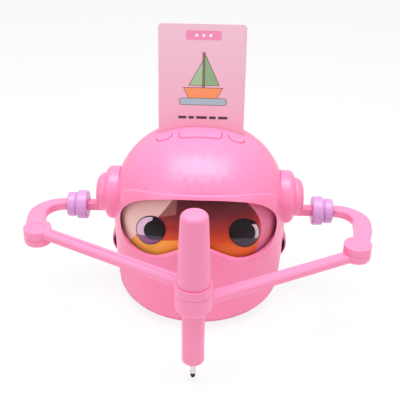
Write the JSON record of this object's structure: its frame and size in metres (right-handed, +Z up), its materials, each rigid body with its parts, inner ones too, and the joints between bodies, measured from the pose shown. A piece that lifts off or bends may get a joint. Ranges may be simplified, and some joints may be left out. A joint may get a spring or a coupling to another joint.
{
  "type": "desktop drawing robot arm",
  "caption": "Round goggled desktop drawing robot: a two-arm linkage from its ears holds a pen over the table, and a flash card stands in the slot on top.",
  "frame": {"origin": "on the table under the body axis, in the plane of the feet", "axes": "+Z up, -Y towards the pen and the goggles, +X towards the robot's arm on the viewer's right"},
  "size_m": [0.258, 0.1933, 0.2116],
  "materials": {
    "pink_shell": "satin moulded ABS",
    "pink_arm": "satin moulded ABS",
    "pink_light": "satin moulded ABS",
    "lilac": "satin moulded ABS",
    "purple": "matte",
    "lens": "polished tinted acrylic",
    "eye_print": "printed panel",
    "pupil": "gloss",
    "foot_rubber": "matte",
    "steel": "brushed",
    "board": "solder mask",
    "battery": "shrink sleeve",
    "black_plastic": "matte",
    "white_plastic": "satin",
    "gear_plastic": "acetal",
    "brass": "machined",
    "nib": "felt",
    "card": "coated print"
  },
  "bodies": {
    "housing": {"upper_shell": "pink_shell", "lower_shell": "pink_shell", "goggle_frame": "pink_shell", "visor_lens": "lens", "eye_panel": "eye_print", "pupil_left": "pupil", "pupil_right": "pupil", "ear_left": "pink_shell", "ear_right": "pink_shell", "side_cup_left": "purple", "side_cup_right": "purple", "bottom_cover": "pink_shell", "battery_door": "pink_shell", "foot_pads": "foot_rubber", "shell_screws": "steel", "main_board": "board", "battery_pack": "battery", "speaker": "black_plastic", "card_chute": "pink_shell", "card_reader": "board", "arm_chassis": "white_plastic", "motor_left": "steel", "motor_right": "steel", "charge_port": "steel", "button_board": "board"},
    "arm_left": {"drive_gear_left": "gear_plastic", "upper_arm_left": "pink_arm", "collar_left": "lilac"},
    "arm_right": {"drive_gear_right": "gear_plastic", "upper_arm_right": "pink_arm", "collar_right": "lilac"},
    "forearm_left": {"forearm_left": "pink_arm", "elbow_pin_left": "pink_arm"},
    "forearm_right": {"forearm_right": "pink_arm", "elbow_pin_right": "pink_arm"},
    "pinion_left": {"motor_pinion_left": "brass"},
    "pinion_right": {"motor_pinion_right": "brass"},
    "pen": {"pen_cap": "pink_arm", "pen_barrel": "pink_arm", "marker_body": "white_plastic", "nib_sleeve": "white_plastic", "nib_tip": "nib"},
    "card": {"flash_card": "card"},
    "center_button": {"button_center": "pink_light"},
    "left_button": {"button_left": "pink_light"},
    "right_button": {"button_right": "pink_light"},
    "switch": {"power_switch": "white_plastic"}
  },
  "joints": [
    {"name": "shoulder_left", "type": "hinge", "parent": "housing", "child": "arm_left", "pos_m": [-0.052, 0, 0.07], "axis": [0, 0, 1], "range_deg": [-9, 12]},
    {"name": "shoulder_right", "type": "hinge", "parent": "housing", "child": "arm_right", "pos_m": [0.052, 0, 0.07], "axis": [0, 0, 1], "range_deg": [-12, 9]},
    {"name": "elbow_left", "type": "hinge", "parent": "arm_left", "child": "forearm_left", "pos_m": [-0.115, -0.0516, 0.073], "axis": [0, 0, 1], "range_deg": [-22.5, 17]},
    {"name": "elbow_right", "type": "hinge", "parent": "arm_right", "child": "forearm_right", "pos_m": [0.115, -0.0516, 0.067], "axis": [0, 0, 1], "range_deg": [-17, 22.5]},
    {"name": "motor_spin_left", "type": "hinge", "parent": "housing", "child": "pinion_left", "pos_m": [-0.0379, 0, 0.06], "axis": [0, 0, 1], "range_deg": [-35, 26]},
    {"name": "motor_spin_right", "type": "hinge", "parent": "housing", "child": "pinion_right", "pos_m": [0.0379, 0, 0.06], "axis": [0, 0, 1], "range_deg": [-26, 35]},
    {"name": "pen_lift", "type": "slide", "parent": "forearm_left", "child": "pen", "axis": [0, 0, 1], "range_m": [0, 0.03]},
    {"name": "card_lift", "type": "slide", "parent": "housing", "child": "card", "axis": [0, 0.0993, 0.9951], "range_m": [0, 0.012]},
    {"name": "center_press", "type": "slide", "parent": "housing", "child": "center_button", "axis": [0, 0, -1], "range_m": [0, 0.001], "stiffness_N_per_m": 300},
    {"name": "left_press", "type": "slide", "parent": "housing", "child": "left_button", "axis": [0, 0, -1], "range_m": [0, 0.001], "stiffness_N_per_m": 300},
    {"name": "right_press", "type": "slide", "parent": "housing", "child": "right_button", "axis": [0, 0, -1], "range_m": [0, 0.001], "stiffness_N_per_m": 300},
    {"name": "switch_slide", "type": "slide", "parent": "housing", "child": "switch", "axis": [1, 0, 0], "range_m": [0, 0.004]}
  ],
  "couplings": [
    {"joint": "shoulder_right", "follows": "shoulder_left", "ratio": -1},
    {"joint": "elbow_left", "follows": "shoulder_left", "ratio": -1.805},
    {"joint": "elbow_right", "follows": "shoulder_left", "ratio": 1.805},
    {"joint": "motor_spin_left", "follows": "shoulder_left", "ratio": -2.8333},
    {"joint": "motor_spin_right", "follows": "shoulder_left", "ratio": 2.8333}
  ]
}
